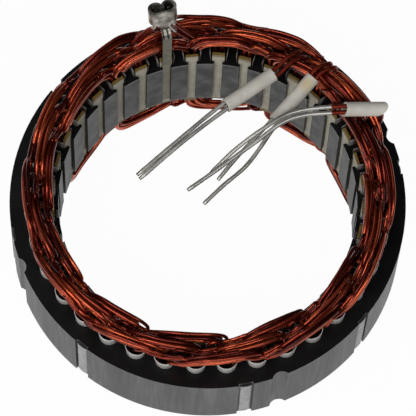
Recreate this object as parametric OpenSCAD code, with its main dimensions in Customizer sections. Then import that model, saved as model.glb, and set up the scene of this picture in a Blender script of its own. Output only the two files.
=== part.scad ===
// Wound stator of a vehicle alternator: laminated core, insulated slots, three phase windings,
// their sleeved leads and the star point terminal.
// Millimetres, +Z up along the rotor axis, origin on that axis at the middle of the core stack.

/* [Core] */
// Outer diameter of the laminated core
core_d = 128; // [126:0.5:131]
// Radial depth of the core, from its rim to the rotor bore
core_depth = 15.7; // [15.3:0.1:16.3]
// Height of the lamination stack
stack_h = 27.5; // [22:0.5:36]
// Width of a tooth neck
tooth_w = 3.2; // [2.8:0.1:3.5]
// Radial thickness of a tooth tip
tip_t = 1.3; // [1.1:0.1:1.6]
// Thickness of a tooth tip at the slot mouth
tip_edge_t = 0.9; // [0.6:0.1:1]
// Opening of a slot at the bore
slot_open = 2.8; // [2.6:0.1:3.2]
// Thickness of the yoke behind the slots
yoke_t = 4.7; // [4.2:0.1:5.4]

/* [Rim grooves] */
// Radius of the round grooves for the through bolts
bolt_groove_r = 3.2; // [2.6:0.1:3.8]
// Depth of the bolt grooves
bolt_groove_depth = 1.5; // [1:0.1:2]
// Width of the weld grooves
weld_groove_w = 4.8; // [4:0.1:5.6]
// Depth of the weld grooves
weld_groove_depth = 0.8; // [0.7:0.1:1.2]
// Diameter of the weld bead
weld_bead_d = 1.3; // [1:0.1:1.4]

/* [Slot insulation] */
// Thickness of the slot liner paper
liner_t = 0.4; // [0.3:0.05:0.5]
// Height that the liners stand out of the core
liner_stand = 3.8; // [3:0.1:4.6]
// Thickness of a slot wedge
wedge_t = 0.9; // [0.7:0.1:1.1]
// Clearance between a slot wedge and the liner at each side of it
wedge_play = 0.24; // [0.14:0.02:0.48]
// Height that the wedges stand out of the core
wedge_stand = 3.9; // [3.2:0.1:4.6]
// How far a wedge may have slipped along its slot
wedge_slip = 0.9; // [0:0.1:1.2]

/* [Winding] */
// Diameter of the enamelled wire
wire_d = 1.4; // [1.2:0.05:1.45]
// Height of the end turns above the core
end_turn_h = 14.2; // [13.6:0.1:17]
// Outer radius of the bend from a slot into an end turn
bend_r = 6.6; // [5.6:0.1:7]

/* [Leads] */
// Diameter of a tinned lead wire
lead_d = 1.4; // [1.1:0.05:1.45]
// Outer diameter of a lead sleeve
sleeve_d = 4.7; // [4.6:0.1:5.2]
// Wall of a lead sleeve
sleeve_t = 0.5; // [0.35:0.05:0.5]
// Length of the sleeves that reach over the bore
sleeve_len = 19; // [17:0.5:22]
// Length of the sleeve that lies across the winding
short_sleeve_len = 15; // [13:0.5:16]

/* [Star point terminal] */
// Thickness of the terminal strip
strip_t = 0.8; // [0.5:0.05:0.9]
// Height above the core where the strip jogs out over the winding
strip_rise = 22; // [20:0.2:24]
// Angle at which the neck and the crimp lean out
strip_lean = 12; // [6:1:18]
// Length of the strip's neck below the crimp
neck_len = 2.1; // [1.8:0.1:4]
// Length of the crimp barrel
barrel_len = 6.2; // [5:0.1:8]
// Wall of the crimp barrel
barrel_t = 0.8; // [0.6:0.05:0.9]

/* [Hidden] */
slot_count = 36;
phase_count = 3;
coils_per_phase = slot_count / phase_count;
slot_pitch = 360 / slot_count;
half_pitch = slot_pitch / 2;
quadrants = 4;
smooth = 96;
fine = 32;
// Clearance between pieces that seat on each other
seat = 0.05;
// Clearance between neighbouring coils
coil_gap = 0.12;
// Clearance between the radial layers of the three phases
layer_gap = 0.35;

// The core and its slots
core_r = core_d / 2;
bore_r = core_r - core_depth;
core_top = stack_h / 2;
throat_r = bore_r + tip_t;
slot_bottom = core_r - yoke_t;
tooth_share = tooth_w / 2 / cos(half_pitch);
slot_end_x = (slot_bottom + tooth_share) / (1 + tan(half_pitch));
bolt_groove_turn = -65;
weld_turns = [-75, -35];
weld_end = 1.4;

// The winding: each phase has its own radial layer, and its bundles are two wires wide and three high
phase_slots = [1, 0, 2];
wire_pitch = wire_d * 0.96;
bundle_w = wire_pitch + wire_d;
bundle_h = 2 * wire_pitch + wire_d;
groove = wire_d * 0.3;
wedge_in = throat_r + seat;
wedge_back = wedge_in + wedge_t;
wedge_w = 2 * (slot_half(wedge_in) - seat - liner_t - wedge_play);
coil_in = wedge_back + 4 * seat;
leg_inset = 3 * seat + liner_t;
leg_top = core_top + liner_stand + 6 * seat;
winding_top = core_top + end_turn_h;
bend_z = winding_top - bend_r;
bend_middle = bend_r + coil_gap / 2;
bend_tilts = [10, 60];
coil_turn = phase_count * slot_pitch;

// The leads: places are given from the root, where a pair of wires leaves its bundle
lead_lie = lead_d / 2 + 2 * seat;
tube_sides = 8;
route_steps = 3;
sleeve_r = sleeve_d / 2;
sleeve_bore_r = sleeve_r - sleeve_t;
// The two wires of a lead lie against the sides of their sleeve
lead_pitch = 2 * sleeve_bore_r - lead_d - 4 * seat;
straight_in = 2.5;
// Layer, step out from it, angle of the root, step to the sleeve, heading, fall and length of the sleeve,
// slants of its two ends, where the wires enter it, their points before it, and their points after it
lead_v = [1, 0, 60, [-9.5, -8.2, 0.3], 218.6, 5, sleeve_len, 0, 8, 0,
    [[0, 0, -1.6], [-0.8, -0.6, 0.6], [-4.2, -2.9, 1.3], [-7.9, -6.9, 0.5]],
    [[-13, -12, -1.3], [-26.2, -25.4, -2.8]],
    [[-13, -12.6, -1.3], [-25.8, -25.8, -2.8]]];
lead_w = [2, 0, 50, [-6.5, -5.4, 0.5], 231.6, 15, sleeve_len, 0, 8, 0,
    [[0, 0, -1.6], [-0.7, -0.6, 0.6], [-4.7, -3.1, 1.3]],
    [[-8.9, -14.2, -2.8], [-15.8, -21.2, -3.8], [-21.6, -27.7, -4.6]],
    [[-11.4, -14, -3.1], [-16, -20.6, -4.1]]];
lead_u = [2, bundle_w / 2 + lead_d, 28.4, [1.9, 0.3, sleeve_r + 2 * seat], 184.6, 1, short_sleeve_len, 48, 23, 6.4,
    [[0, 0, -5], [0, 0, 0.2], [-0.4, 0, 1.8], [-2, 0, 2.4]],
    [[-16.2, -3.2, -0.9], [-27.4, -11.9, -2.8], [-39.4, -22, -4.4], [-47.4, -28.6, -5.4]],
    [[-16.2, -3.4, -0.7], [-24.3, -9.2, -1], [-33.1, -16.4, -3.4], [-40.2, -23.8, -6.2]]];

// The terminal strip sits in the mouth of one slot, in front of its wedge
terminal_slot = 11;
foot_w = slot_open - 6 * seat;
strip_w = 3;
strip_foot = 1.5;
flare_len = 1.2;
// The jog: how far the strip lies over, the radii of its two bends and the flat between them
jog_lean = 65;
jog_in_r = 1.8;
jog_out_r = 1.2;
jog_flat = 0.9;
jog_steps = 4;
lobe_r = 2.5;
lobe_step = 2.2;
star_pitch = 1.1 * lead_d;
star_step = 0.9;
seam_half = 0.75 * barrel_t;
star_tip = 1.5;

function slot_half(x) = x * tan(half_pitch) - tooth_share;
function layer_r(phase) = coil_in + bundle_w / 2 + phase * (bundle_w + layer_gap);
function polar(r, turn, z) = [r * cos(turn), r * sin(turn), z];
function unit(v) = v / norm(v);
function turned(p, turn) =
    [p[0] * cos(turn) - p[1] * sin(turn), p[0] * sin(turn) + p[1] * cos(turn), p[2]];

// The heading at each point of a path halves the turn there, and a smooth curve runs through the points
function headings(path) =
    let (last = len(path) - 1)
    [for (i = [0:last])
        let (back = max(i, 1), on = min(i, last - 1))
        unit(unit(path[back] - path[back - 1]) + unit(path[on + 1] - path[on]))];
function between(a, b, way_a, way_b, t) =
    let (length = norm(b - a), u = 1 - t)
    a * u * u * (1 + 2 * t) + b * t * t * (1 + 2 * u) + length * t * u * (u * way_a - t * way_b);
function smoothed(route) =
    let (last = len(route) - 1, ways = headings(route))
    concat(
        [for (i = [0:last - 1], k = [0:route_steps - 1])
            between(route[i], route[i + 1], ways[i], ways[i + 1], k / route_steps)],
        [route[last]]);
function carried(ways, i, normal) =
    i == len(ways) ? [] :
    let (n = unit(normal - (normal * ways[i]) * ways[i]))
    concat([n], carried(ways, i + 1, n));

// A round wire swept along a path
module wire(path, d) {
    ways = headings(path);
    side = carried(ways, 0, abs(ways[0][2]) > 0.9 ? [1, 0, 0] : [0, 0, 1]);
    count = len(path);
    rings = [for (i = [0:count - 1], k = [0:tube_sides - 1])
        let (turn = 360 * k / tube_sides)
        path[i] + d / 2 * (cos(turn) * side[i] + sin(turn) * cross(ways[i], side[i]))];
    walls = [for (i = [0:count - 2], k = [0:tube_sides - 1])
        let (n = (k + 1) % tube_sides, a = i * tube_sides, b = a + tube_sides)
        [a + k, b + k, b + n, a + n]];
    caps = [
        [for (k = [0:tube_sides - 1]) k],
        [for (k = [0:tube_sides - 1]) count * tube_sides - 1 - k]];
    polyhedron(rings, concat(walls, caps));
}

// Outline of a slot behind the tooth tips, drawn in by an inset
module slot_body(inset, from) {
    end_half = slot_half(slot_end_x) - inset;
    from_half = slot_half(from) - inset;
    polygon([[from, -from_half], [slot_end_x, -end_half], [slot_end_x, end_half], [from, from_half]]);
    translate([slot_end_x, 0]) circle(end_half, $fn = smooth);
}

// Outline of a whole slot, with its mouth and the slope under the tooth tips
module slot_outline() {
    mouth = slot_open / 2;
    throat_half = slot_half(throat_r);
    slot_body(0, throat_r);
    polygon([
        [bore_r - tip_t, -mouth], [bore_r + tip_edge_t, -mouth], [throat_r, -throat_half],
        [throat_r, throat_half], [bore_r + tip_edge_t, mouth], [bore_r - tip_t, mouth]]);
}

// The laminated core, with bolt grooves, weld grooves and weld beads down its rim
module core() {
    floor_r = core_r - weld_groove_depth;
    color([0.42, 0.42, 0.43]) {
        translate([0, 0, -core_top]) linear_extrude(stack_h) difference() {
            circle(core_r, $fn = 2 * smooth);
            circle(bore_r, $fn = 2 * smooth);
            for (i = [0:slot_count - 1]) rotate(i * slot_pitch) slot_outline();
            for (i = [0:quadrants - 1]) rotate(bolt_groove_turn + i * 360 / quadrants)
                translate([core_r - bolt_groove_depth + bolt_groove_r, 0])
                    circle(bolt_groove_r, $fn = smooth);
            for (i = [0:quadrants - 1], turn = weld_turns) rotate(turn + i * 360 / quadrants)
                translate([floor_r, -weld_groove_w / 2])
                    square([2 * weld_groove_depth, weld_groove_w]);
        }
        for (i = [0:quadrants - 1], turn = weld_turns) rotate(turn + i * 360 / quadrants)
            translate([floor_r, 0, weld_end - core_top])
                cylinder(d = weld_bead_d, h = stack_h - 2 * weld_end, $fn = fine);
    }
}

// One U-shaped slot liner, open towards the bore
module slot_liner(index) {
    reach = core_top + liner_stand;
    color([0.86, 0.85, 0.80]) rotate(index * slot_pitch) translate([0, 0, -reach])
        linear_extrude(2 * reach) difference() {
            slot_body(seat, wedge_in);
            slot_body(seat + liner_t, wedge_in - liner_t);
        }
}

// The slot wedges close the slots behind the tooth tips, each slipped a little along its slot
module slot_wedges() {
    color([0.80, 0.77, 0.66]) for (i = [0:slot_count - 1]) {
        slip = wedge_slip * sin(i * 137);
        rotate(i * slot_pitch)
            translate([wedge_in, -wedge_w / 2, slip - core_top - wedge_stand])
                cube([wedge_t, wedge_w, stack_h + 2 * wedge_stand]);
    }
}

// Section of a coil in a slot: eight points round one half of the slot, from its middle plane to the liner
function slot_ring(z) =
    let (mid = coil_gap / 2,
         in_half = slot_half(coil_in) - leg_inset,
         middle_x = (coil_in + slot_end_x) / 2,
         round_r = slot_half(slot_end_x) - leg_inset)
    [[coil_in, mid, z],
     [coil_in, (mid + in_half) / 2, z],
     [coil_in, in_half, z],
     [middle_x, slot_half(middle_x) - leg_inset, z],
     [slot_end_x, round_r, z],
     [slot_end_x + round_r * cos(45), round_r * sin(45), z],
     [slot_end_x + round_r * cos(asin(mid / round_r)), mid, z],
     [middle_x, mid, z]];

// Section of a bundle in its own layer: four strands with grooves between, by radius and reach from the bend
function bundle_ring(phase, thickness) =
    let (r = layer_r(phase), w = bundle_w / 2, low = bend_r - thickness, half = bend_r - thickness / 2)
    [[r - w, bend_r], [r - w + groove, half], [r - w, low], [r, low + groove],
     [r + w, low], [r + w - groove, half], [r + w, bend_r], [r, bend_r - groove]];

// The bend out of a slot, where tilt 0 is upright, and the crown of an end turn, halfway between its slots
function bend_ring(phase, tilt) =
    let (leg_w = slot_half(layer_r(phase)) - leg_inset - coil_gap / 2,
         thickness = leg_w + (bundle_h - leg_w) * tilt / 90)
    [for (p = bundle_ring(phase, thickness))
        polar(p[0], asin((bend_middle - p[1] * cos(tilt)) / layer_r(phase)), bend_z + p[1] * sin(tilt))];
function crown_ring(phase) =
    [for (p = bundle_ring(phase, bundle_h)) polar(p[0], coil_turn / 2, bend_z + p[1])];
function far_side(ring) = [for (p = ring) turned([p[0], -p[1], p[2]], coil_turn)];
function under_side(ring) = [for (p = ring) [p[0], p[1], -p[2]]];

// One coil: a closed loop through two slots, over the top of the core and under its bottom
module coil(phase) {
    up = concat([slot_ring(leg_top)], [for (tilt = bend_tilts) bend_ring(phase, tilt)]);
    over = concat(up, [crown_ring(phase)], [for (i = [len(up) - 1:-1:0]) far_side(up[i])]);
    under = [for (i = [len(over) - 1:-1:0]) under_side(over[i])];
    rings = concat(over, under);
    sides = len(rings[0]);
    points = [for (ring = rings, p = ring) p];
    faces = [for (i = [0:len(rings) - 1], k = [0:sides - 1])
        let (n = (k + 1) % sides, a = i * sides, b = (i + 1) % len(rings) * sides)
        [a + k, a + n, b + n, b + k]];
    polyhedron(points, faces);
}

// One phase: a ring of coils that share every third slot
module phase_winding(phase) {
    color([0.47, 0.16, 0.10]) for (i = [0:coils_per_phase - 1])
        rotate((phase_count * i + phase_slots[phase]) * slot_pitch) coil(phase);
}
module phase_u_winding() { phase_winding(0); }
module phase_v_winding() { phase_winding(1); }
module phase_w_winding() { phase_winding(2); }

// Where a lead leaves its bundle, and the line of its sleeve
function lead_root(lead) = polar(layer_r(lead[0]) + lead[1], lead[2], winding_top);
function lead_way(lead) = [cos(lead[4]) * cos(lead[5]), sin(lead[4]) * cos(lead[5]), -sin(lead[5])];
function on_sleeve(lead, along) = lead_root(lead) + lead[3] + along * lead_way(lead);

// A pair of lead wires: out of the bundle, through the sleeve, and on to their two tips
module lead_wires(lead) {
    length = lead[6];
    color([0.75, 0.75, 0.74]) for (side = [-1, 1]) {
        shift = side * lead_pitch / 2 * unit(cross(lead_way(lead), [0, 0, 1]));
        free = side < 0 ? lead[11] : lead[12];
        route = concat(
            [for (p = lead[10]) lead_root(lead) + p],
            [for (along = [lead[9], length - straight_in, length]) on_sleeve(lead, along)],
            [for (p = free) on_sleeve(lead, length) + p]);
        wire([for (p = smoothed(route)) p + shift], lead_d);
    }
}
module lead_u_wires() { lead_wires(lead_u); }
module lead_v_wires() { lead_wires(lead_v); }
module lead_w_wires() { lead_wires(lead_w); }

// A sleeve round a pair of wires: the near end may be cut back below, and the far end above
module lead_sleeve(lead) {
    length = lead[6];
    cut = [2 * length, 2 * sleeve_d, length];
    color([0.87, 0.85, 0.80]) translate(on_sleeve(lead, 0)) rotate([0, 90 + lead[5], lead[4]]) difference() {
        cylinder(r = sleeve_r, h = length, $fn = fine);
        translate([0, 0, -sleeve_r]) cylinder(r = sleeve_bore_r, h = length + sleeve_d, $fn = fine);
        translate([-sleeve_r, 0, 0]) rotate([0, -lead[7], 0])
            translate([-length, -sleeve_d, -length]) cube(cut);
        translate([sleeve_r, 0, length]) rotate([0, -lead[8], 0])
            translate([-length, -sleeve_d, 0]) cube(cut);
    }
}
module lead_u_sleeve() { lead_sleeve(lead_u); }
module lead_v_sleeve() { lead_sleeve(lead_v); }
module lead_w_sleeve() { lead_sleeve(lead_w); }

// Section of the crimp barrel: two rolled lobes on a flat back, with the rolled edges between them
module crimp_outline() {
    inner_r = lobe_r - barrel_t;
    notch = sqrt(lobe_r * lobe_r - lobe_step * lobe_step);
    difference() {
        union() {
            for (side = [-1, 1]) translate([lobe_r, side * lobe_step]) circle(lobe_r, $fn = fine);
            translate([0, -lobe_step]) square([lobe_r, 2 * lobe_step]);
        }
        for (side = [-1, 1]) translate([lobe_r, side * lobe_step]) circle(inner_r, $fn = fine);
        translate([barrel_t, -lobe_step]) square([lobe_r - barrel_t, 2 * lobe_step]);
    }
    translate([lobe_r - barrel_t / 2, -seam_half]) square([notch, 2 * seam_half]);
}

// Middle line of the strip, by radius and height, with its lean at each point
function lean_out(lean) = [-cos(lean), sin(lean)];
function strip_line() =
    let (start = [throat_r - strip_t / 2, core_top + strip_rise],
         in_centre = start - jog_in_r * lean_out(0),
         flat_end = in_centre + jog_in_r * lean_out(jog_lean) + jog_flat * [sin(jog_lean), cos(jog_lean)],
         out_centre = flat_end + jog_out_r * lean_out(jog_lean))
    concat(
        [[[start[0], strip_foot - core_top], 0]],
        [for (i = [0:jog_steps]) let (lean = jog_lean * i / jog_steps)
            [in_centre + jog_in_r * lean_out(lean), lean]],
        [for (i = [0:jog_steps]) let (lean = jog_lean + (strip_lean - jog_lean) * i / jog_steps)
            [out_centre - jog_out_r * lean_out(lean), lean]]);
function strip_face(side) =
    [for (p = strip_line()) p[0] + side * strip_t / 2 * lean_out(p[1])];
function last_of(list) = list[len(list) - 1];
neck_foot = last_of(strip_face(1));
neck_way = [sin(strip_lean), cos(strip_lean)];

// Side view of the whole strip, up to the crimp
module strip_side() {
    front = strip_face(1);
    back = strip_face(-1);
    polygon(concat(
        front,
        [last_of(front) + neck_len * neck_way, last_of(back) + neck_len * neck_way],
        [for (i = [len(back) - 1:-1:0]) back[i]]));
}

// Frame of the leaning top of the terminal, with its front face at x = 0 and the neck from z = 0
module leaning() {
    rotate(terminal_slot * slot_pitch) translate([neck_foot[0], 0, neck_foot[1]])
        rotate([0, strip_lean, 0]) children();
}
function leaned(p) =
    turned([neck_foot[0] + p[0] * cos(strip_lean) + p[2] * sin(strip_lean), p[1],
        neck_foot[1] - p[0] * sin(strip_lean) + p[2] * cos(strip_lean)], terminal_slot * slot_pitch);

// The star point terminal: a strip up the mouth of a slot, a jog, a neck and a crimp barrel
module star_terminal() {
    color([0.76, 0.75, 0.72]) {
        rotate(terminal_slot * slot_pitch) difference() {
            translate([0, strip_w / 2, 0]) rotate([90, 0, 0]) linear_extrude(strip_w) strip_side();
            for (side = [-1, 1]) translate([bore_r, side * (foot_w + strip_w) / 2, 0])
                cube([4 * strip_t, strip_w, stack_h + 6 * seat], center = true);
        }
        leaning() {
            rotate([90, 0, 90]) linear_extrude(strip_t) polygon([
                [-strip_w / 2, neck_len - flare_len], [strip_w / 2, neck_len - flare_len],
                [lobe_step, neck_len], [-lobe_step, neck_len]]);
            translate([0, 0, neck_len]) linear_extrude(barrel_len) crimp_outline();
        }
    }
}

// A wire end of the star point: from its bundle, by radius, turn and height, up into one lobe of the crimp barrel
module star_wire(start, side, turn) {
    place = [lobe_r + star_step * cos(turn), side * (lobe_step + star_step * sin(turn)), 0];
    route = concat(
        [for (p = start) polar(p[0], terminal_slot * slot_pitch + p[1], winding_top + p[2])],
        [for (z = [neck_len - 2, neck_len - 0.5, neck_len + barrel_len - star_tip]) leaned(place + [0, 0, z])]);
    wire(smoothed(route), lead_d);
}
// A pair that rises out of the valley between two coils of its phase
module star_pair(phase, side) {
    r = layer_r(phase);
    near_r = (r + neck_foot[0] + lobe_r) / 2;
    color([0.70, 0.62, 0.55]) for (place = [[slot_pitch - 1.3, -116], [slot_pitch + 1.3, 124]])
        star_wire([[r, side * place[0], -1.6], [near_r, side * (place[0] - 5.6), 6]], side, place[1]);
}
module star_u_wires() { star_pair(0, -1); }
module star_v_wires() { star_pair(1, 1); }
// One wire of the outer phase lies along the top of its coil, and the other rises out of the valley behind the crimp
module star_w_wires() {
    r = layer_r(2);
    color([0.70, 0.62, 0.55]) {
        star_wire([[r, -24, lead_lie], [r, -13, lead_lie + 0.2], [r, -7, lead_lie + 1.5]], -1, 0);
        star_wire([[r, 0.8, -1.6], [r - 0.2, 0.9, 0.9], [r - 1, 1.6, 6]], 1, 0);
    }
}

core();
slot_wedges();
phase_u_winding();
phase_v_winding();
phase_w_winding();
lead_u_wires();
lead_v_wires();
lead_w_wires();
lead_u_sleeve();
lead_v_sleeve();
lead_w_sleeve();
star_terminal();
star_u_wires();
star_v_wires();
star_w_wires();
for (i = [1:slot_count])
    slot_liner(i - 1);
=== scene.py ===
"""Looks of the wound stator: separate wires, flared liners, weld beads, tinned leads and materials."""

import math

import bpy
import numpy as np
from mathutils import Matrix, Vector


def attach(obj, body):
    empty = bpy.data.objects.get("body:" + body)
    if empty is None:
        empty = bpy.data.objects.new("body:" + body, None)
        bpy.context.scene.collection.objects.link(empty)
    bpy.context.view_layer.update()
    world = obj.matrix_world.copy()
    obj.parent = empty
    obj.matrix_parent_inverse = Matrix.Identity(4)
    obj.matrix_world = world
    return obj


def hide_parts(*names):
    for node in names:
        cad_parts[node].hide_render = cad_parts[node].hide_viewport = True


MM = 0.001
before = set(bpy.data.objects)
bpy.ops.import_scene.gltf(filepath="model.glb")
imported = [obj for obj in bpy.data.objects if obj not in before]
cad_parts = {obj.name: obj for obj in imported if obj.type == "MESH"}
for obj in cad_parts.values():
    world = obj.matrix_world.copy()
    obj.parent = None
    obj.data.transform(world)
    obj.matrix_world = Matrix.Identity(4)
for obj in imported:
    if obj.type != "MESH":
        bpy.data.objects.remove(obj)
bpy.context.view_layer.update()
rng = np.random.default_rng(31)

# Sizes of the solids that the pieces follow, in millimetres and degrees
CORE_TOP = 13.75
THROAT_R = 49.6
SLOT_COUNT = 36
SLOT_PITCH = 10.0
SLOT_END_X = 56.007
TOOTH_HALF = 1.6
COIL_IN = 50.75
COIL_OUT = 58.4
BUNDLE_W = 2.744
BUNDLE_H = 4.088
LAYER_GAP = 0.35
WINDING_TOP = 27.95
LEG_INSET = 0.55
PHASE_SLOTS = [1, 0, 2]
LINER_T = 0.3
LINER_TOP = CORE_TOP + 4.4
LEAD_D = 1.4
SLEEVE_R = 2.35
SLEEVE_T = 0.5
TERMINAL_TURN = 110.0
SEAT = 0.05


def polar(r, turn, z):
    a = math.radians(turn)
    return np.array([r * math.cos(a), r * math.sin(a), z])


def turned(points, turn):
    """Points turned round the rotor axis."""
    a = math.radians(turn)
    x, y, z = np.moveaxis(points, -1, 0)
    return np.stack([x * math.cos(a) - y * math.sin(a), x * math.sin(a) + y * math.cos(a), z], -1)


def unit(v):
    return v / np.linalg.norm(v)


def path_lengths(path):
    """Length of the path from its start to each of its points."""
    return np.concatenate([[0], np.cumsum(np.linalg.norm(np.diff(path, axis=0), axis=1))])


def smooth_step(x):
    x = np.clip(x, 0, 1)
    return x * x * (3 - 2 * x)


def slot_half(x):
    """Half the width of a slot at the distance x from the axis."""
    half_pitch = math.radians(SLOT_PITCH / 2)
    return x * math.tan(half_pitch) - TOOTH_HALF / math.cos(half_pitch)


def layer_r(phase):
    return COIL_IN + BUNDLE_W / 2 + phase * (BUNDLE_W + LAYER_GAP)


def coil_turn(phase, index):
    return (len(PHASE_SLOTS) * index + PHASE_SLOTS[phase]) * SLOT_PITCH


# Meshes
def add_mesh(name, points, faces, tone):
    mesh = bpy.data.meshes.new(name)
    mesh.from_pydata((np.asarray(points) * MM).tolist(), [], faces)
    mesh.update()
    mesh.polygons.foreach_set("use_smooth", [True] * len(mesh.polygons))
    layer = mesh.attributes.new("tone", "FLOAT", "POINT")
    layer.data.foreach_set("value", np.asarray(tone, np.float32))
    obj = bpy.data.objects.new(name, mesh)
    bpy.context.scene.collection.objects.link(obj)
    return obj


def ways_of(path, closed):
    if closed:
        step = np.roll(path, -1, 0) - np.roll(path, 1, 0)
    else:
        step = np.gradient(path, axis=0)
    return step / np.linalg.norm(step, axis=1)[:, None]


def tube(path, radius, sides, closed=False):
    """Rings round a path, with the frame carried along it; a closed path has its twist spread over it."""
    path = np.asarray(path, float)
    count = len(path)
    ways = ways_of(path, closed)
    normals = np.zeros_like(path)
    n = np.array([0.0, 0.0, 1.0]) if abs(ways[0][2]) < 0.9 else np.array([1.0, 0.0, 0.0])
    for i in range(count):
        n = unit(n - (n @ ways[i]) * ways[i])
        normals[i] = n
    twist = 0.0
    if closed:
        last = unit(normals[-1] - (normals[-1] @ ways[0]) * ways[0])
        twist = math.atan2(np.cross(last, normals[0]) @ ways[0], last @ normals[0])
    radii = np.broadcast_to(np.asarray(radius, float), (count,))
    turn = np.arange(sides) * 2 * math.pi / sides
    angles = turn[None, :] + (twist * np.arange(count) / count)[:, None]
    across = np.cross(ways, normals)
    ring = np.cos(angles)[:, :, None] * normals[:, None, :] + np.sin(angles)[:, :, None] * across[:, None, :]
    points = (path[:, None, :] + radii[:, None, None] * ring).reshape(-1, 3)
    faces = []
    for i in range(count if closed else count - 1):
        a, b = i * sides, (i + 1) % count * sides
        for k in range(sides):
            m = (k + 1) % sides
            faces.append((a + k, a + m, b + m, b + k))
    if not closed:
        faces.append(tuple(range(sides))[::-1])
        faces.append(tuple((count - 1) * sides + k for k in range(sides)))
    return points, faces


class Pile:
    """Several tubes or shells gathered in one mesh, each with its tone from 0 to 1."""

    def __init__(self):
        self.points, self.faces, self.tone, self.count = [], [], [], 0

    def add(self, points, faces, tone):
        self.points.append(points)
        self.faces.extend(tuple(i + self.count for i in f) for f in faces)
        self.tone.append(np.broadcast_to(np.asarray(tone, float), (len(points),)))
        self.count += len(points)

    def build(self, name):
        return add_mesh(name, np.concatenate(self.points), self.faces, np.concatenate(self.tone))


def soften(obj, width, segments, angle):
    bevel = obj.modifiers.new("soften", "BEVEL")
    bevel.width = width * MM
    bevel.segments = segments
    bevel.limit_method = "ANGLE"
    bevel.angle_limit = math.radians(angle)


# Materials
class Shade:
    """A small helper round one material's nodes."""

    def __init__(self, name):
        self.material = bpy.data.materials.new(name)
        self.material.use_nodes = True
        self.tree = self.material.node_tree
        self.shader = self.tree.nodes["Principled BSDF"]
        self.coords = self.tree.nodes.new("ShaderNodeTexCoord").outputs["Object"]

    def set(self, **values):
        for key, value in values.items():
            self.shader.inputs[key.replace("_", " ")].default_value = value

    def feed(self, key, socket):
        self.tree.links.new(socket, self.shader.inputs[key])

    def node(self, kind, inputs=None, **values):
        made = self.tree.nodes.new(kind)
        for key, value in values.items():
            setattr(made, key, value)
        for key, value in (inputs or {}).items():
            if isinstance(value, bpy.types.NodeSocket):
                self.tree.links.new(value, made.inputs[key])
            else:
                made.inputs[key].default_value = value
        return made

    def math(self, operation, a, b=0.0, c=0.0):
        return self.node("ShaderNodeMath", {0: a, 1: b, 2: c}, operation=operation).outputs[0]

    def split(self, socket):
        return self.node("ShaderNodeSeparateXYZ", {0: socket}).outputs

    def join(self, x, y, z):
        return self.node("ShaderNodeCombineXYZ", {0: x, 1: y, 2: z}).outputs[0]

    def axis_distance(self, x, y):
        flat = self.join(x, y, 0.0)
        return self.node("ShaderNodeVectorMath", {0: flat}, operation="LENGTH").outputs["Value"]

    def upright(self):
        """How squarely a face looks up or down, from 0 to 1."""
        return self.math("ABSOLUTE", self.split(self.node("ShaderNodeNewGeometry").outputs["Normal"])[2])

    def tone(self):
        return self.node("ShaderNodeAttribute", attribute_name="tone").outputs["Fac"]

    def noise(self, scale, detail=3.0, rough=0.55, at=None):
        inputs = {"Vector": at or self.coords, "Scale": scale, "Detail": detail, "Roughness": rough}
        return self.node("ShaderNodeTexNoise", inputs).outputs["Fac"]

    def ramp(self, value, stops):
        made = self.node("ShaderNodeValToRGB", {0: value})
        ramp = made.color_ramp
        while len(ramp.elements) < len(stops):
            ramp.elements.new(0.5)
        for element, (place, colour) in zip(ramp.elements, stops):
            element.position = place
            element.color = (*colour, 1.0)
        return made.outputs[0]

    def between(self, value, low, high, to_low=0.0, to_high=1.0):
        inputs = {"Value": value, "From Min": low, "From Max": high, "To Min": to_low, "To Max": to_high}
        return self.node("ShaderNodeMapRange", inputs).outputs[0]

    def mix(self, share, a, b):
        made = self.node("ShaderNodeMix", {0: share}, data_type="RGBA")
        for socket, value in ((made.inputs[6], a), (made.inputs[7], b)):
            if isinstance(value, bpy.types.NodeSocket):
                self.tree.links.new(value, socket)
            else:
                socket.default_value = (*value, 1.0)
        return made.outputs[2]

    def bump(self, height, strength, distance):
        inputs = {"Height": height, "Strength": strength, "Distance": distance}
        self.feed("Normal", self.node("ShaderNodeBump", inputs).outputs[0])


# Where the looks of a solid change, in millimetres
SHEET_PITCH = 0.65
RIM_FROM = 62.3
TIP_TO = 48.45
TIP_EDGE_FROM = 13.0
VARNISH_RUN = 0.7
END_FACE = 0.6
STREAK_PITCH = 1.5
BEND_FOOT = (35.6, 36.2)
BEND_HEAD = (38.9, 38.3)
CRIMP_FROM = (38.4, 39.4)
STAIN_AT = (29.1, 36.2, 30.5)
STAIN_REACH = (4.2, 1.8)
WEDGE_BROWN_FROM = 16.0


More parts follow.
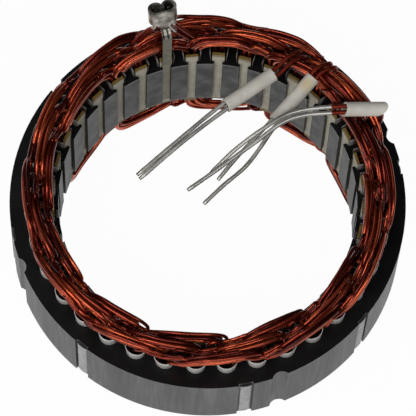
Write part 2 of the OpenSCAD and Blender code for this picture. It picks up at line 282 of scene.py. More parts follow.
def core_material():
    """Ground steel on the rim and the tooth tips, and black varnish elsewhere, which runs over the edges."""
    s = Shade("core_steel")
    x, y, z = s.split(s.coords)
    r = s.axis_distance(x, y)
    high = s.math("ABSOLUTE", z)
    up = s.upright()
    streak_at = s.join(s.math("MULTIPLY", s.math("ARCTAN2", y, x), 1.6), 0.0, s.math("MULTIPLY", z, 1.5))
    streaks = s.noise(26.0, 5.0, 0.65, streak_at)
    wide_streaks = s.noise(4.0, 3.0, 0.5, streak_at)
    sheets = s.math("SINE", s.math("MULTIPLY", z, 2 * math.pi / (SHEET_PITCH * MM)))
    grind = s.math("ADD", s.math("MULTIPLY", streaks, 0.6), s.math("MULTIPLY", wide_streaks, 0.55))
    grind = s.math("ADD", grind, s.math("MULTIPLY", sheets, 0.035))
    steel = s.ramp(grind, [(0.36, (0.052, 0.052, 0.053)), (0.58, (0.094, 0.094, 0.096)),
                           (0.8, (0.17, 0.17, 0.17))])
    dirt = s.math("ADD", s.noise(150.0, 4.0, 0.6), s.math("MULTIPLY", sheets, 0.05))
    tips = s.ramp(dirt, [(0.38, (0.02, 0.02, 0.02)), (0.5, (0.048, 0.048, 0.047)),
                         (0.66, (0.09, 0.089, 0.086))])
    tip_edge = s.math("GREATER_THAN", high, TIP_EDGE_FROM * MM)
    tips = s.mix(s.math("MULTIPLY", tip_edge, 0.6), tips, (0.16, 0.155, 0.15))
    varnish = s.ramp(s.noise(90.0, 3.0), [(0.3, (0.004, 0.004, 0.004)), (0.8, (0.01, 0.01, 0.01))])
    is_rim = s.math("GREATER_THAN", r, RIM_FROM * MM)
    is_tip = s.math("LESS_THAN", r, TIP_TO * MM)
    is_flat = s.math("GREATER_THAN", up, END_FACE)
    run_down = s.math("MULTIPLY_ADD", s.noise(150.0, 3.0), -VARNISH_RUN * MM, CORE_TOP * MM)
    is_end = s.math("MAXIMUM", is_flat, s.math("GREATER_THAN", high, run_down))
    bare_rim = s.math("MULTIPLY", is_rim, s.math("SUBTRACT", 1.0, is_end))
    bare_tip = s.math("MULTIPLY", is_tip, s.math("SUBTRACT", 1.0, is_flat))
    bare = s.math("MAXIMUM", bare_rim, bare_tip)
    s.feed("Base Color", s.mix(bare, varnish, s.mix(is_tip, steel, tips)))
    s.feed("Metallic", s.math("MULTIPLY", bare, 0.85))
    s.feed("Roughness", s.between(bare, 0.0, 1.0, 0.3, 0.5))
    s.set(Specular_IOR_Level=0.2)
    relief = s.math("ADD", s.math("MULTIPLY", sheets, 0.5), s.math("MULTIPLY", streaks, 1.2))
    s.bump(s.math("MULTIPLY", relief, bare), 0.25, 0.03 * MM)
    return s.material


def enamel_material():
    s = Shade("enamelled_copper")
    patch = s.noise(55.0, 3.0, 0.5)
    mark = s.math("ADD", s.math("MULTIPLY", s.tone(), 0.62), s.math("MULTIPLY", patch, 0.5))
    colour = s.ramp(mark, [(0.25, (0.035, 0.005, 0.003)), (0.52, (0.17, 0.019, 0.009)),
                           (0.85, (0.5, 0.09, 0.034))])
    s.feed("Base Color", colour)
    s.feed("Roughness", s.between(s.noise(320.0, 2.0), 0.3, 0.7, 0.2, 0.3))
    s.set(Metallic=0.85, Specular_IOR_Level=0.2, Coat_Weight=0.1, Coat_Roughness=0.15, Coat_IOR=1.5)
    return s.material


# Tones of a tinned wire: painted shade at its end in the crimp, tin, or still with its red enamel
TONE_PAINTED_SHADE = 0.0
TONE_TIN = 0.1
TONE_RED = 0.9


def tin_material():
    s = Shade("tinned_wire")
    tone = s.tone()
    cloud = s.noise(160.0, 3.0, 0.5)
    bright = (0.6, 0.585, 0.545)
    dull = tuple(0.62 * c for c in bright)
    tin = s.ramp(cloud, [(0.3, dull), (0.7, bright)])
    red = s.ramp(cloud, [(0.3, (0.1, 0.012, 0.007)), (0.75, (0.23, 0.033, 0.017))])
    is_red = s.between(s.math("ADD", tone, s.math("MULTIPLY", cloud, 0.1)), 0.52, 0.58)
    # Painted shade: wire ends at the shade tone are painted dark grey, as the crimp's hollow lies in shade
    plain = s.mix(s.between(tone, TONE_PAINTED_SHADE, 0.06), (0.05, 0.046, 0.04), tin)
    s.feed("Base Color", s.mix(is_red, plain, red))
    s.feed("Roughness", s.between(cloud, 0.3, 0.75, 0.36, 0.54))
    s.set(Metallic=1.0)
    s.bump(s.noise(240.0, 2.0), 0.02, 0.1 * MM)
    return s.material


def terminal_material():
    """A dull strip; a painted highlight, crossed by stripes of painted shade for its ribs, where the strip
    jogs out; and a crimp with worn plating.
    """
    s = Shade("plated_terminal")
    cloud = s.noise(300.0, 4.0, 0.6)
    fine = s.noise(1500.0, 2.0)
    x, y, z = s.split(s.coords)
    a = math.radians(TERMINAL_TURN)
    side = s.math("ADD", s.math("MULTIPLY", x, -math.sin(a)), s.math("MULTIPLY", y, math.cos(a)))
    # Painted highlight on the jog, where it faces the lamps, crossed by stripes of painted shade for the
    # jog's ribs
    wave = s.math("SINE", s.math("MULTIPLY", side, 2 * math.pi / (STREAK_PITCH * MM)))
    painted_rib_shade = s.between(wave, -0.6, 0.3, 0.9, 0.0)
    from_foot, from_head, at_crimp = (
        s.between(z, low * MM, high * MM) for low, high in (BEND_FOOT, BEND_HEAD, CRIMP_FROM))
    strip = s.ramp(cloud, [(0.3, (0.08, 0.073, 0.047)), (0.7, (0.14, 0.13, 0.092))])
    crimp = s.ramp(cloud, [(0.35, (0.1, 0.092, 0.075)), (0.5, (0.34, 0.32, 0.275)),
                           (0.65, (0.7, 0.67, 0.6))])
    jog_light_and_shade = s.mix(painted_rib_shade, (0.36, 0.345, 0.3), (0.02, 0.018, 0.013))
    strip = s.mix(s.math("MULTIPLY", from_foot, from_head), strip, jog_light_and_shade)
    s.feed("Base Color", s.mix(at_crimp, strip, crimp))
    s.feed("Roughness", s.between(fine, 0.3, 0.7, 0.38, 0.52))
    s.set(Metallic=1.0)
    s.bump(cloud, 0.25, 0.06 * MM)
    return s.material


def sleeve_material():
    """Matt sleeving, with a brown stain on one sleeve."""
    s = Shade("sleeving")
    cloud = s.noise(170.0, 4.0, 0.6)
    weave = s.noise(2600.0, 2.0)
    middle = tuple(v * MM for v in STAIN_AT)
    away = s.node("ShaderNodeVectorMath", {0: s.coords, 1: middle}, operation="DISTANCE").outputs["Value"]
    away = s.math("ADD", away, s.math("MULTIPLY", cloud, 1.6 * MM))
    stain = s.between(away, STAIN_REACH[0] * MM, STAIN_REACH[1] * MM)
    clean_or_unshaded = s.ramp(cloud, [(0.3, (0.49, 0.463, 0.405)), (0.7, (0.61, 0.583, 0.525))])
    s.feed("Base Color", s.mix(s.math("MULTIPLY", stain, 0.7), clean_or_unshaded, (0.55, 0.42, 0.2)))
    s.feed("Roughness", s.between(weave, 0.3, 0.7, 0.62, 0.82))
    s.set(Specular_IOR_Level=0.3, Subsurface_Weight=0.06, Subsurface_Scale=0.4 * MM)
    s.bump(s.math("ADD", weave, cloud), 0.25, 0.07 * MM)
    return s.material


def paper_material(name, low, high, edge, edge_z, edge_share, shade_and_varnish=None):
    """A pale sheet with another colour at its ends; a liner also has painted shade: grey towards the core,
    and a dark colour, partly varnish stain, on its walls in the winding.
    """
    s = Shade(name)
    x, y, z = s.split(s.coords)
    z = s.math("ABSOLUTE", z)
    cloud = s.noise(240.0, 4.0, 0.6)
    fibre = s.noise(1800.0, 3.0, 0.6)
    sheet = s.ramp(cloud, [(0.3, low), (0.7, high)])
    uneven_z = s.math("ADD", z, s.math("MULTIPLY", cloud, 0.4 * MM))
    at_edge = s.between(uneven_z, edge_z * MM, (edge_z + 1.3) * MM)
    share = s.math("MAXIMUM", s.math("MULTIPLY", at_edge, edge_share), s.between(s.upright(), 0.5, 0.7))
    colour = s.mix(share, sheet, edge)
    if shade_and_varnish:
        r = s.axis_distance(x, y)
        out_end = s.between(r, 56.2 * MM, 57.6 * MM)
        in_end = s.between(r, 51.6 * MM, 50.8 * MM, 0.0, 0.4)
        # Painted shade, partly varnish stain: all but the outer faces at the liner's ends take the dark
        # colour
        clean_or_unshaded = s.math("MULTIPLY", s.between(s.tone(), 0.3, 0.7), s.math("MAXIMUM", out_end, in_end))
        # Painted shade: the liner grows greyer towards the core face
        lit = s.between(z, CORE_TOP * MM, LINER_TOP * MM, 0.3, 1.0)
        colour = s.mix(lit, (0.18, 0.178, 0.17), colour)
        colour = s.mix(clean_or_unshaded, shade_and_varnish, colour)
    s.feed("Base Color", colour)
    s.feed("Roughness", s.between(fibre, 0.3, 0.7, 0.55, 0.8))
    s.set(Specular_IOR_Level=0.3)
    s.bump(fibre, 0.2, 0.05 * MM)
    return s.material


def weld_material():
    s = Shade("weld_bead")
    cloud = s.noise(500.0, 4.0, 0.6)
    bead = s.ramp(cloud, [(0.3, (0.24, 0.24, 0.242)), (0.7, (0.4, 0.4, 0.4))])
    s.feed("Base Color", s.mix(s.between(s.tone(), 0.2, 0.5), (0.005, 0.005, 0.005), bead))
    s.set(Metallic=0.6, Roughness=0.5)
    s.bump(cloud, 0.3, 0.05 * MM)
    return s.material


def use(obj, made):
    obj.data.materials.clear()
    obj.data.materials.append(made)
    return obj


# The winding: every coil is several wires, each a closed loop through its two slots
COIL_COUNT = 12
SPAN = len(PHASE_SLOTS) * SLOT_PITCH
WIRE_R = 0.6
WIRE_SIDES = 10
WIRE_COLUMNS = (-0.72, 0.72)
WIRE_ROWS = (1.38, 0.08, -1.22)
WIRE_COUNT = len(WIRE_COLUMNS) * len(WIRE_ROWS)
STRAND_IN, STRAND_OUT = 50.3, 59.3
DRIFT = 1.4
WAVES = (1, 2)
ARCH_POINTS = 34
ARCH_FOOT = CORE_TOP + 1.4
FOOT_ASIDE = 1.25
LEG_FROM = COIL_IN + WIRE_R
LEG_TO = COIL_OUT - WIRE_R
LEG_LEANS = (0.12, 0.75)
LEG_STEPS = (0.2, 0.5, 0.8)
FREE_FROM = 0.6
FREE_OVER = 8.2
BUNDLE_HALF = 1.08
INNER_BULGE = 0.7


def arch_line(radius, peak, steep, slack, first, last):
    """One wire over one end: arc length from the first slot's plane, and height."""
    t = np.linspace(0, math.pi, 400)
    half = math.radians(SPAN / 2) * radius
    c, s = np.cos(t), np.sin(t)
    power = np.where(c > 0, 2 / slack, 2 / steep)
    y = half - np.sign(c) * (half - np.where(c > 0, first, last)) * np.abs(c) ** power
    z = ARCH_FOOT + (peak - ARCH_FOOT) * np.abs(s) ** power
    length = path_lengths(np.stack([y, z], 1))
    even = np.linspace(0, length[-1], ARCH_POINTS)
    return np.interp(even, length, y), np.interp(even, length, z)


def wander(size):
    """A slow random wave along one arch."""
    s = np.linspace(0, 1, ARCH_POINTS)
    out = np.zeros(ARCH_POINTS)
    for k in WAVES:
        out += rng.normal(0, size / k) * np.sin(2 * math.pi * (k * s + rng.random()))
    return out


def leg_places(rank):
    """Distances from the axis, and from the slot's plane, of wires that go down a slot in this order."""
    r = LEG_FROM + (LEG_TO - LEG_FROM) * rank / (WIRE_COUNT - 1) + rng.normal(0, 0.06, WIRE_COUNT)
    r = np.clip(r, LEG_FROM, LEG_TO)
    half = np.array([slot_half(min(v, SLOT_END_X)) for v in r]) - LEG_INSET - 0.06
    lean = np.where(rank % 2 == 0, *LEG_LEANS)
    return r, 0.1 + WIRE_R + lean * np.maximum(half - 2 * WIRE_R, 0.0)


def coil_wires(pile, phase, index):
    radius = layer_r(phase)
    turn = coil_turn(phase, index)
    across = np.array([u for _ in WIRE_ROWS for u in WIRE_COLUMNS])
    height = np.array([v for v in WIRE_ROWS for _ in WIRE_COLUMNS])
    across = across + rng.normal(0, 0.1, WIRE_COUNT)
    height = height + rng.normal(0, 0.12, WIRE_COUNT)
    spin = rng.normal(0.25, 0.35)
    first_r, first_y = leg_places(np.argsort(np.argsort(across + rng.normal(0, 0.6, WIRE_COUNT))))
    last_r, last_y = leg_places(rng.permutation(WIRE_COUNT))
    low = [rng.uniform(0.1, 0.6), rng.uniform(0.1, 0.6)]
    slack = [rng.uniform(1.4, 1.75), rng.uniform(1.4, 1.75)]
    steep = [rng.uniform(3.2, 4.2), rng.uniform(3.2, 4.2)]
    tones = rng.uniform(0.1, 0.95, WIRE_COUNT)
    s = np.linspace(0, 1, ARCH_POINTS)
    near = s < 0.5
    far = math.radians(SPAN) * radius
    for i in range(WIRE_COUNT):
        loops = []
        for end, up in enumerate((1, -1)):
            peak = WINDING_TOP - BUNDLE_H / 2 - low[end]
            y, z = arch_line(radius, peak, steep[end] + rng.uniform(-0.6, 0.6),
                             slack[end] + rng.uniform(-0.2, 0.35), FOOT_ASIDE + rng.uniform(-1.4, 1.0),
                             FOOT_ASIDE + rng.uniform(-2.4, 0.6))
            dy, dz = np.gradient(y), np.gradient(z)
            size = np.hypot(dy, dz)
            # The wire's place in the bundle, which turns and wanders a little on the way
            angle = spin * (s - 0.5) + wander(0.14)
            out = across[i] * np.cos(angle) - 0.5 * height[i] * np.sin(angle) + wander(0.12)
            into = -height[i] * np.cos(angle) - across[i] * np.sin(angle) + wander(0.12)
            out = np.clip(out, -BUNDLE_HALF, BUNDLE_HALF)
            if phase == 0:
                out = out - INNER_BULGE * np.sin(math.pi * s) ** 2
            # Near the core each wire passes into its own place in the slot
            free = smooth_step((z - CORE_TOP - FREE_FROM) / FREE_OVER)
            from_first = np.where(near, free, 1.0)
            from_last = np.where(near, 1.0, free)
            r = np.clip(radius + out - DRIFT * (2 * s - 1), STRAND_IN, STRAND_OUT)
            y = y + into * dz / size
            z = np.minimum(z - into * dy / size * free, WINDING_TOP - WIRE_R - 0.02)
            r = first_r[i] * (1 - from_first) + r * from_first
            y = first_y[i] * (1 - from_first) + y * from_first
            r = last_r[i] * (1 - from_last) + r * from_last
            y = (far - last_y[i]) * (1 - from_last) + y * from_last
            at_slot = np.where(near, 1 - from_first, 1 - from_last)
            slot_turn = np.where(near, np.arcsin(np.clip(y / r, -1, 1)),
                                 math.radians(SPAN) - np.arcsin(np.clip((far - y) / r, -1, 1)))
            a = y / radius * (1 - at_slot) + slot_turn * at_slot + math.radians(turn)
            loops.append(np.stack([r * np.cos(a), r * np.sin(a), up * z], 1))
        top, bottom = loops
        legs_down = [top[-1] * (1 - f) + bottom[-1] * f for f in LEG_STEPS]
        legs_up = [bottom[0] * (1 - f) + top[0] * f for f in LEG_STEPS]
        route = np.concatenate([top, legs_down, bottom[::-1], legs_up])
        pile.add(*tube(route, WIRE_R, WIRE_SIDES, True), tones[i])


BRIDGE_PLACES = (-0.55, 0.5)
BRIDGE_SIDES = 8
BRIDGE_END = 0.66
BRIDGE_DIP = 3.4


def bridge_wires(pile, phase, index):
    """Strands that pass from one coil to the next over the valley between them, at both ends."""
    radius = layer_r(phase)
    turn = coil_turn(phase, index)
    s = np.linspace(-1, 1, 17)
    for up in (1, -1):
        for place in BRIDGE_PLACES:
            reach = rng.uniform(7.0, 10.0)
            sag = rng.uniform(2.4, 4.2)
            high = WINDING_TOP - 1.5 - rng.uniform(0, 1.2)
            dip = BRIDGE_DIP * smooth_step((np.abs(s) - BRIDGE_END) / (1 - BRIDGE_END))
            z = high - sag * (1 - s ** 2) ** 2 - dip
            r = radius + place + 0.25 * np.sin(2.2 * s + rng.uniform(0, 6))
            r = np.clip(r, STRAND_IN, STRAND_OUT)
            a = np.radians(turn + rng.uniform(-1.0, 1.0) + reach * s)
            route = np.stack([r * np.cos(a), r * np.sin(a), up * z], 1)
            pile.add(*tube(route, WIRE_R, BRIDGE_SIDES), rng.uniform(0.1, 0.8))


enamel = enamel_material()
for phase, letter in enumerate("uvw"):
    pile = Pile()
    for index in range(COIL_COUNT):
        coil_wires(pile, phase, index)
        bridge_wires(pile, phase, index)
    winding = use(pile.build(f"winding_{letter}"), enamel)
    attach(winding, "root")
    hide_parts(f"phase_{letter}_winding")


# The slot liners: folded papers that flare where they stand out of the core, by height and flare
LINER_LEVELS = [(CORE_TOP + 0.15, 0.0), (CORE_TOP + 0.9, 0.05), (CORE_TOP + 2.0, 0.16),
                (CORE_TOP + 3.2, 0.36), (LINER_TOP - 0.02, 0.62)]
LINER_MOUTH = THROAT_R + 0.1
LINER_MIDDLE = 53.0
LINER_BACK = 9
WAVE_FROM = 0.2
RIM_FLARE = 0.6


def liner_outline(inset):
    """Outline of a liner, from one side of its mouth round its back to the other, and outward normals."""
    end_half = slot_half(SLOT_END_X) - inset
    points = [(x, slot_half(x) - inset) for x in (LINER_MOUTH, LINER_MIDDLE, SLOT_END_X)]
    ways = [(0.0, 1.0)] * len(points)
    for k in range(1, LINER_BACK):
        a = math.pi / 2 * (1 - k / (LINER_BACK - 1))
        points.append((SLOT_END_X + end_half * math.cos(a), end_half * math.sin(a)))
        ways.append((math.cos(a), math.sin(a)))
    full = points + [(x, -y) for x, y in points[-2::-1]]
    out = ways + [(x, -y) for x, y in ways[-2::-1]]
    return np.array(full), np.array(out)


def liner_faces(rows, n):
    """Faces of a folded sheet whose points run by level, then outer and inner side, then along the fold."""
    def at(row, side, k):
        return (row * 2 + side) * n + k

    faces = []
    for row in range(rows - 1):
        for k in range(n - 1):
            faces.append((at(row, 0, k), at(row + 1, 0, k), at(row + 1, 0, k + 1), at(row, 0, k + 1)))
            faces.append((at(row, 1, k), at(row, 1, k + 1), at(row + 1, 1, k + 1), at(row + 1, 1, k)))
        for k, flip in ((0, False), (n - 1, True)):
            quad = (at(row, 0, k), at(row, 1, k), at(row + 1, 1, k), at(row + 1, 0, k))
            faces.append(quad[::-1] if flip else quad)
    for row, flip in ((0, False), (rows - 1, True)):
        for k in range(n - 1):
            quad = (at(row, 0, k), at(row, 0, k + 1), at(row, 1, k + 1), at(row, 1, k))
            faces.append(quad[::-1] if flip else quad)
    return faces


def liner(index):
    levels = [(-z, f) for z, f in LINER_LEVELS[::-1]] + LINER_LEVELS
    outer, ways = liner_outline(SEAT + 0.01)
    inner, _ = liner_outline(SEAT + 0.01 + LINER_T)
    n = len(outer)
    sway = rng.normal(0, 0.1, 2)
    bulge = rng.uniform(0.75, 1.2)
    start = rng.uniform(0, 6.28)
    along = np.linspace(-1, 1, n)
    points = []
    tone = []
    for z, flare in levels:
        wave = 1 + 0.14 * np.sin(np.linspace(0, 9, n) + start) * (flare > WAVE_FROM)
        grow = flare * bulge * (0.45 + 0.55 * (1 - np.abs(along))) * wave
        shift = np.array([0.0, sway[0] if z > 0 else sway[1]]) * flare
        notch = 0.18 * np.abs(np.sin(np.linspace(0, 7, n) + start)) * (flare > RIM_FLARE)
        # The tone marks the faces that keep the paper colour (outer) and those that get painted shade
        # (inner)
        for line, side_lit in ((outer, 1.0), (inner, 0.5 if flare > RIM_FLARE else 0.0)):
            flat = line + grow[:, None] * ways * np.array([0.25, 1.0]) + shift
            points.append(np.column_stack([flat, z - notch * np.sign(z)]))
            tone.append(np.full(n, side_lit))
    placed = turned(np.concatenate(points), index * SLOT_PITCH)
    return placed, liner_faces(len(levels), n), np.concatenate(tone)


# The last colour is the liner walls' dark of painted shade and varnish stain
paper = paper_material("liner_paper", (0.4, 0.395, 0.38), (0.5, 0.49, 0.47), (0.44, 0.43, 0.41),
                       LINER_TOP, 0.8, (0.045, 0.03, 0.022))
for index in range(SLOT_COUNT):
    piece = use(add_mesh(f"liner_{index + 1}", *liner(index)), paper)
    soften(piece, 0.08, 1, 30)
    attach(piece, "root")
    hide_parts(f"slot_liner_{index + 1}")


# The leads, as offsets in millimetres from where each leaves its bundle, and from its sleeve's end
LEAD_SIDES = 12
LEAD_PITCH = 2 * (SLEEVE_R - SLEEVE_T) - LEAD_D - 4 * SEAT
LEADS = {
    "v": dict(
        layer=1, step=0.0, root=60, to_sleeve=(-9.5, -8.2, 0.3), heading=218.6, fall=5, length=19, enter=0,
        before=[(0, 0, -1.6), (-0.8, -0.6, 0.6), (-4.2, -2.9, 1.3), (-7.9, -6.9, 0.5)],
        free=[[(-13.1, -11.92, -1.3), (-26.2, -25.4, -2.8)],
              [(-12.9, -12.68, -1.3), (-25.8, -25.8, -2.8)]],
        red=20.0),
    "w": dict(
        layer=2, step=0.0, root=50, to_sleeve=(-6.5, -5.4, 0.5), heading=231.6, fall=15, length=19, enter=0,
        before=[(0, 0, -1.6), (-0.7, -0.6, 0.6), (-4.7, -3.1, 1.3)],
        free=[[(-8.9, -14.2, -2.8), (-15.8, -21.2, -3.8), (-21.6, -27.7, -4.6)],
              [(-11.4, -14, -3.1), (-16, -20.6, -4.1)]],
        red=18.0),
    "u": dict(
        layer=2, step=BUNDLE_W / 2 + LEAD_D, root=28.4, to_sleeve=(1.9, 0.3, SLEEVE_R + 2 * SEAT),
        heading=184.6, fall=1, length=15, enter=6.4,
        before=[(0, 0, -5), (0, 0, 0.2), (-0.4, 0, 1.8), (-2, 0, 2.4)],
        free=[[(-16.2, -3.2, -0.9), (-27.4, -11.9, -2.8), (-39.4, -22, -4.4), (-47.4, -28.6, -5.4)],
              [(-16.2, -3.4, -0.7), (-24.3, -9.2, -1), (-33.1, -16.4, -3.4), (-40.2, -23.8, -6.2)]],
        red=22.0),
}


def headings(path):
    ways = []
    last = len(path) - 1
    for i in range(last + 1):
        back, on = max(i, 1), min(i, last - 1)
        ways.append(unit(unit(path[back] - path[back - 1]) + unit(path[on + 1] - path[on])))
    return ways


def smoothed(route, steps=8):
    """A smooth curve through the points of a route."""
    route = [np.asarray(p, float) for p in route]
    ways = headings(route)
    out = []
    for i in range(len(route) - 1):
        a, b, wa, wb = route[i], route[i + 1], ways[i], ways[i + 1]
        length = np.linalg.norm(b - a)
        for k in range(steps):
            t = k / steps
            u = 1 - t
            pull = length * t * u * (u * wa - t * wb)
            out.append(a * u * u * (1 + 2 * t) + b * t * t * (1 + 2 * u) + pull)
    out.append(route[-1])
    return np.array(out)


def lead_route(lead, side):
    root = polar(layer_r(lead["layer"]) + lead["step"], lead["root"], WINDING_TOP)
    a, f = math.radians(lead["heading"]), math.radians(lead["fall"])
    way = np.array([math.cos(a) * math.cos(f), math.sin(a) * math.cos(f), -math.sin(f)])
    sleeve = root + np.array(lead["to_sleeve"])
    length = lead["length"]
    free = lead["free"][0 if side < 0 else 1]
    route = [root + np.array(p) for p in lead["before"]]
    route += [sleeve + along * way for along in (lead["enter"], length - 2.5, length)]
    route += [sleeve + length * way + np.array(p) for p in free]
    return smoothed(route) + side * LEAD_PITCH / 2 * unit(np.cross(way, [0, 0, 1]))


tin = tin_material()
for letter, lead in LEADS.items():
    pile = Pile()
    for side in (-1, 1):
        path = lead_route(lead, side)
        along = path_lengths(path)
        is_red = along < lead["red"]
        lumps = 1 + 0.035 * np.sin(along * 1.7 + side) + 0.03 * np.sin(along * 0.63 + 2 * side)
        radius = LEAD_D / 2 * np.minimum(np.where(is_red, 1.0, lumps), 1.04)
        radius[-1] *= 0.82
        tone = np.where(is_red, TONE_RED, TONE_TIN)
        pile.add(*tube(path, radius, LEAD_SIDES), np.repeat(tone, LEAD_SIDES))
    piece = use(pile.build(f"lead_wires_{letter}"), tin)
    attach(piece, "root")
    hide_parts(f"lead_{letter}_wires")


# The star point: wire ends that rise from their bundles into the two lobes of the crimp
STRIP_T = 0.8
STRIP_RISE = 22.0
STRIP_LEAN = 12.0
JOG_LEAN = 65.0
JOG_IN_R = 1.8
JOG_OUT_R = 1.2
JOG_FLAT = 0.9
NECK = 2.1
BARREL = 6.2
LOBE_X = 2.5
LOBE_Y = 2.2
LOBE_PLACE_R = 0.9


def lean_out(lean):
    a = math.radians(lean)
    return np.array([-math.cos(a), math.sin(a)])


def neck_foot():
    """Distance from the axis and height of the foot of the barrel's neck."""
    a = math.radians(JOG_LEAN)
    start = np.array([THROAT_R - STRIP_T / 2, CORE_TOP + STRIP_RISE])
    centre = start - JOG_IN_R * lean_out(0)
    flat_end = centre + JOG_IN_R * lean_out(JOG_LEAN) + JOG_FLAT * np.array([math.sin(a), math.cos(a)])
    return flat_end + JOG_OUT_R * lean_out(JOG_LEAN) + (STRIP_T / 2 - JOG_OUT_R) * lean_out(STRIP_LEAN)


def leaned(x, y, z):
    """A point of the barrel, which leans out with its neck."""
    foot = neck_foot()
    a = math.radians(STRIP_LEAN)
    r = foot[0] + x * math.cos(a) + z * math.sin(a)
    return turned(np.array([r, y, foot[1] - x * math.sin(a) + z * math.cos(a)]), TERMINAL_TURN)


def star_route(start, side, turn):
    a = math.radians(turn)
    x = LOBE_X + LOBE_PLACE_R * math.cos(a)
    y = side * (LOBE_Y + LOBE_PLACE_R * math.sin(a))
    route = [polar(r, TERMINAL_TURN + t, WINDING_TOP + z) for r, t, z in start]
    route += [leaned(x, y, z) for z in (NECK - 2, NECK - 0.5, NECK + BARREL - 1.5)]
    return smoothed(route)


def star_starts(letter):
    """Start points, lobe, place in the lobe and length of red enamel of each of a phase's two wires."""
    if letter == "w":
        r = layer_r(2)
        lie = LEAD_D / 2 + 2 * SEAT
        crown = [(r, -27, lie - 4.2), (r, -23, lie - 1.5), (r, -18, lie - 0.3), (r, -13, lie),
                 (r, -7, lie + 1.5)]
        valley = [(r, 0.8, -1.6), (r - 0.2, 0.9, 0.9), (r - 1, 1.6, 6)]
        return [(crown, -1, 0, 25.0), (valley, 1, 0, 9.0)]
    layer, side, reds = (0, -1, (8.0, 13.0)) if letter == "u" else (1, 1, (13.0, 13.0))
    r = layer_r(layer)
    near = (r + neck_foot()[0] + LOBE_X) / 2
    starts = []
    for place, turn, red in ((SLOT_PITCH - 1.3, -116, reds[0]), (SLOT_PITCH + 1.3, 124, reds[1])):
        starts.append(([(r, side * place, -1.6), (near, side * (place - 5.6), 6)], side, turn, red))
    return starts


for letter in "uvw":
    pile = Pile()
    for start, side, turn, red in star_starts(letter):
        route = star_route(start, side, turn)
        tone = np.where(path_lengths(route) < red, TONE_RED, TONE_TIN)
        # The last two rings, down in the crimp, get the painted shade
        tone[-2:] = TONE_PAINTED_SHADE
        pile.add(*tube(route, LEAD_D / 2, LEAD_SIDES), np.repeat(tone, LEAD_SIDES))
    piece = use(pile.build(f"star_ends_{letter}"), tin)
    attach(piece, "root")
    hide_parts(f"star_{letter}_wires")


# The weld beads, laid wide over the floors of their grooves
BEAD_TURNS = (-75.0, -35.0)
BEAD_FLOOR = 63.05
BEAD_RISE = 0.87
BEAD_HALF = 2.0
BEAD_END = 13.6
BEAD_CAP_FROM = 12.0
BEAD_CAP = 0.8
BEAD_DARK_FROM = 11.9


def weld_bead(turn):
    along = np.linspace(-BEAD_END, BEAD_END, 69)
    across = np.linspace(0, math.pi, 9)
    rows, cols = len(along), len(across)
    cap = np.sqrt(np.clip(1 - ((np.abs(along) - BEAD_CAP_FROM) / BEAD_CAP).clip(0) ** 2, 0.02, 1))
    ripple = 1 + 0.025 * np.sin(along * 5.2) + 0.015 * np.sin(along * 2.1 + turn)
    x = BEAD_FLOOR + np.sin(across)[None, :] ** 0.6 * BEAD_RISE * (cap * ripple)[:, None]
    y = np.cos(across)[None, :] * BEAD_HALF * (1 + 0.03 * np.sin(along * 3.3))[:, None]
    z = np.broadcast_to(along[:, None], y.shape)
    points = turned(np.stack([x, y, z], 2).reshape(-1, 3), turn)
    faces = [(i * cols + k, i * cols + k + 1, (i + 1) * cols + k + 1, (i + 1) * cols + k)
             for i in range(rows - 1) for k in range(cols - 1)]
    faces += [tuple(range(cols))[::-1], tuple((rows - 1) * cols + k for k in range(cols))]
    return points, faces, np.repeat(smooth_step((BEAD_DARK_FROM - np.abs(along)) / 0.4), cols)


pile = Pile()
for quarter in range(4):
    for turn in BEAD_TURNS:
        pile.add(*weld_bead(turn + 90 * quarter))
beads = use(pile.build("weld_beads"), weld_material())
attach(beads, "root")


# The solids that are kept as they are, with materials of their own
use(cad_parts["core"], core_material())
wedge = paper_material("wedge_strip", (0.42, 0.393, 0.315), (0.53, 0.503, 0.41), (0.17, 0.108, 0.024),
                       WEDGE_BROWN_FROM, 0.85)
use(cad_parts["slot_wedges"], wedge)
sleeving = sleeve_material()
for letter in "uvw":
    use(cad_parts[f"lead_{letter}_sleeve"], sleeving)
terminal = use(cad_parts["star_terminal"], terminal_material())
soften(terminal, 0.16, 2, 40)


# Floor, light and camera
FLOOR_HALF = 20.0
FLOOR_Z = (-WINDING_TOP - 0.05) * MM
FLOOR_WHITE = 0.97


def floor_material():
    """White where the camera or a mirror sees it, and a plain pale floor to all other light."""
    s = Shade("floor")
    s.set(Base_Color=(0.86, 0.86, 0.86, 1.0), Roughness=0.9, Specular_IOR_Level=0.0)
    glow = s.node("ShaderNodeEmission", {"Color": (1.0, 1.0, 1.0, 1.0), "Strength": 1.0})
    path = s.node("ShaderNodeLightPath").outputs
    backdrop = s.math("MAXIMUM", path["Is Camera Ray"], path["Is Glossy Ray"])
    mixed = s.node("ShaderNodeMixShader", {0: s.math("MULTIPLY", backdrop, FLOOR_WHITE)})
    s.tree.links.new(s.shader.outputs[0], mixed.inputs[1])
    s.tree.links.new(glow.outputs[0], mixed.inputs[2])
    s.tree.links.new(mixed.outputs[0], s.tree.nodes["Material Output"].inputs["Surface"])
    return s.material


scene = bpy.context.scene
corners = [(x * FLOOR_HALF, y * FLOOR_HALF, FLOOR_Z) for x, y in ((-1, -1), (1, -1), (1, 1), (-1, 1))]
floor_mesh = bpy.data.meshes.new("floor")
floor_mesh.from_pydata(corners, [], [(0, 1, 2, 3)])
floor = bpy.data.objects.new("floor", floor_mesh)
scene.collection.objects.link(floor)
floor_mesh.materials.append(floor_material())

scene.view_settings.view_transform = "Standard"
world = bpy.data.worlds.new("studio")
scene.world = world
world.use_nodes = True
background = world.node_tree.nodes["Background"]
background.inputs["Color"].default_value = (1.0, 1.0, 1.0, 1.0)
background.inputs["Strength"].default_value = 0.07


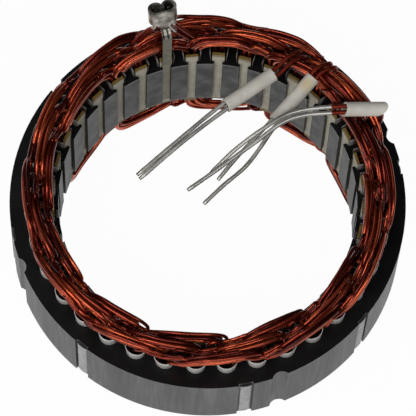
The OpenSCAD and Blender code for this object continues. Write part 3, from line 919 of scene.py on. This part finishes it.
def area_light(name, place, size, power):
    """A round lamp, in metres and watts, that faces the middle of the part."""
    data = bpy.data.lights.new(name, "AREA")
    data.shape = "DISK"
    data.size = size
    data.energy = power
    obj = bpy.data.objects.new(name, data)
    scene.collection.objects.link(obj)
    obj.location = place
    obj.rotation_mode = "QUATERNION"
    obj.rotation_quaternion = (-Vector(place)).to_track_quat("-Z", "Y")


area_light("key", (0.3, -0.52, 0.8), 0.45, 2.2)
area_light("back", (-0.45, 0.35, 0.7), 0.45, 0.75)
area_light("second_key", (-0.3, -0.52, 0.8), 0.45, 3.2)
area_light("left", (-0.65, -0.6, 0.4), 0.4, 2.0)
area_light("front", (-0.1, -0.85, 0.4), 0.5, 1.5)

# The camera that was fitted to the photo, which is 416 pixels wide
ELEVATION, AZIMUTH, DISTANCE, ROLL = 68.05, -89.1, 1034.14, 3.302
FOCAL_PX, FRAME_PX, CENTRE_PX = 3202.48, 416.0, (207.885, 200.21)
SENSOR = 36.0
target = Vector((0, 0, CORE_TOP * MM))
e, a = math.radians(ELEVATION), math.radians(AZIMUTH)
back = Vector((math.cos(e) * math.cos(a), math.cos(e) * math.sin(a), math.sin(e)))
right = Vector((-math.sin(a), math.cos(a), 0))
above = back.cross(right)
c, s = math.cos(math.radians(ROLL)), math.sin(math.radians(ROLL))
right, above = c * right + s * above, -s * right + c * above
place = target + back * DISTANCE * MM
camera_data = bpy.data.cameras.new("camera")
camera_data.sensor_width = SENSOR
camera_data.lens = SENSOR * FOCAL_PX / FRAME_PX
camera_data.shift_x = (FRAME_PX / 2 - CENTRE_PX[0]) / FRAME_PX
camera_data.shift_y = (CENTRE_PX[1] - FRAME_PX / 2) / FRAME_PX
camera_data.clip_start, camera_data.clip_end = 0.05, 50.0
camera = bpy.data.objects.new("camera", camera_data)
scene.collection.objects.link(camera)
camera.matrix_world = Matrix((
    (right.x, above.x, back.x, place.x),
    (right.y, above.y, back.y, place.y),
    (right.z, above.z, back.z, place.z),
    (0, 0, 0, 1)))
scene.camera = camera

bpy.context.view_layer.update()
